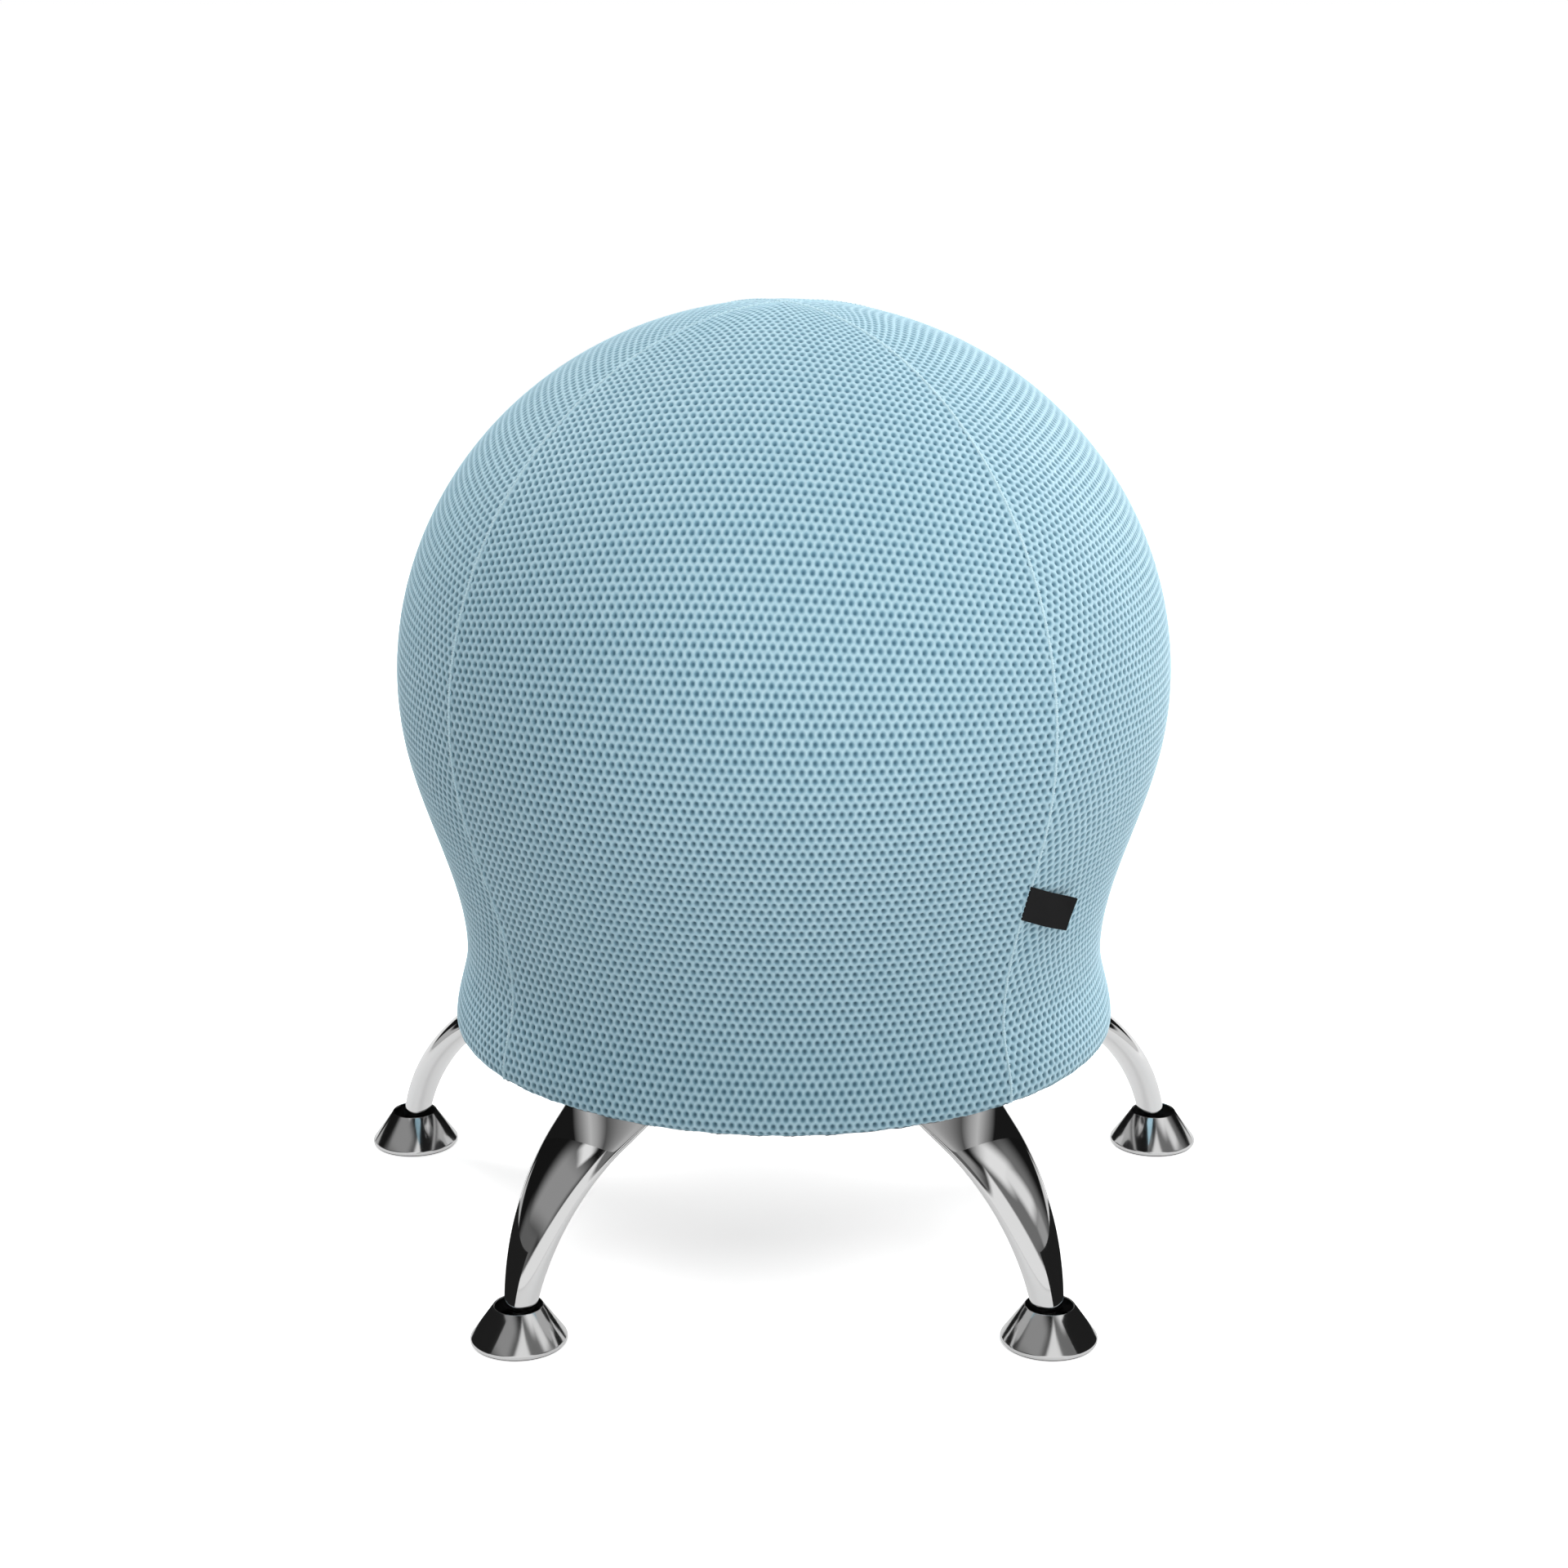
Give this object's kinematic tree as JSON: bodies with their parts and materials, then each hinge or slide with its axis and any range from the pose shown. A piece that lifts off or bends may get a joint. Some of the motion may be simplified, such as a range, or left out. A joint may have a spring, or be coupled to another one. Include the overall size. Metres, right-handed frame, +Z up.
{
  "type": "office stool",
  "caption": "Balance-ball stool: an inflated ball in a stretch mesh cover, drawn in to a waist over a round base on splayed chromed legs with tilting bell glides.",
  "frame": {"origin": "on the floor under the seat axis, at the middle of the foot circle", "axes": "+Z up along the seat axis, -Y to the front of the picture, +X to its right"},
  "size_m": [0.538, 0.5143, 0.557],
  "materials": {
    "cover_mesh": "open spacer mesh",
    "ball_vinyl": "satin vinyl",
    "valve_plastic": "matte",
    "elastic_cord": "woven",
    "label_weave": "woven",
    "pan_plastic": "fine grain",
    "insert_brass": "machined",
    "bolt_steel": "zinc plated",
    "leg_chrome": "polished",
    "plate_steel": "satin black",
    "plug_nylon": "matte",
    "stud_steel": "machined",
    "glide_chrome": "polished",
    "glide_nylon": "matte"
  },
  "bodies": {
    "base": {"base_pan": "pan_plastic", "threaded_inserts": "insert_brass", "leg_bolts": "bolt_steel", "hem_elastic": "elastic_cord", "valve_plug": "valve_plastic", "leg_front_right": "leg_chrome", "leg_plate_front_right": "plate_steel", "leg_plug_front_right": "plug_nylon", "glide_stud_front_right": "stud_steel", "leg_side_right": "leg_chrome", "leg_plate_side_right": "plate_steel", "leg_plug_side_right": "plug_nylon", "glide_stud_side_right": "stud_steel", "leg_rear": "leg_chrome", "leg_plate_rear": "plate_steel", "leg_plug_rear": "plug_nylon", "glide_stud_rear": "stud_steel", "leg_side_left": "leg_chrome", "leg_plate_side_left": "plate_steel", "leg_plug_side_left": "plug_nylon", "glide_stud_side_left": "stud_steel", "leg_front_left": "leg_chrome", "leg_plate_front_left": "plate_steel", "leg_plug_front_left": "plug_nylon", "glide_stud_front_left": "stud_steel"},
    "seat": {"ball": "ball_vinyl", "cover_front": "cover_mesh", "cover_right": "cover_mesh", "cover_back": "cover_mesh", "cover_left": "cover_mesh", "label": "label_weave"},
    "glide_front_right": {"glide_bell_front_right": "glide_chrome", "glide_socket_front_right": "glide_nylon", "glide_pad_front_right": "glide_nylon"},
    "glide_side_right": {"glide_bell_side_right": "glide_chrome", "glide_socket_side_right": "glide_nylon", "glide_pad_side_right": "glide_nylon"},
    "glide_rear": {"glide_bell_rear": "glide_chrome", "glide_socket_rear": "glide_nylon", "glide_pad_rear": "glide_nylon"},
    "glide_side_left": {"glide_bell_side_left": "glide_chrome", "glide_socket_side_left": "glide_nylon", "glide_pad_side_left": "glide_nylon"},
    "glide_front_left": {"glide_bell_front_left": "glide_chrome", "glide_socket_front_left": "glide_nylon", "glide_pad_front_left": "glide_nylon"}
  },
  "joints": [
    {"name": "seat_bounce", "type": "slide", "parent": "base", "child": "seat", "axis": [0, 0, -1], "range_m": [0, 0.06], "stiffness_N_per_m": 12000, "springref_m": -0.004, "deforming": ["ball", "cover_front", "cover_right", "cover_back", "cover_left", "label"]},
    {"name": "glide_tilt_front_right", "type": "hinge", "parent": "base", "child": "glide_front_right", "pos_m": [0.1493, -0.20549, 0.01], "axis": [0.809, 0.5878, 0], "range_deg": [-10, 10]},
    {"name": "glide_tilt_side_right", "type": "hinge", "parent": "base", "child": "glide_side_right", "pos_m": [0.24157, 0.07849, 0.01], "axis": [-0.309, 0.9511, 0], "range_deg": [-10, 10]},
    {"name": "glide_tilt_rear", "type": "hinge", "parent": "base", "child": "glide_rear", "pos_m": [0, 0.254, 0.01], "axis": [-1, 0, 0], "range_deg": [-10, 10]},
    {"name": "glide_tilt_side_left", "type": "hinge", "parent": "base", "child": "glide_side_left", "pos_m": [-0.24157, 0.07849, 0.01], "axis": [-0.309, -0.9511, 0], "range_deg": [-10, 10]},
    {"name": "glide_tilt_front_left", "type": "hinge", "parent": "base", "child": "glide_front_left", "pos_m": [-0.1493, -0.20549, 0.01], "axis": [0.809, -0.5878, 0], "range_deg": [-10, 10]}
  ]
}
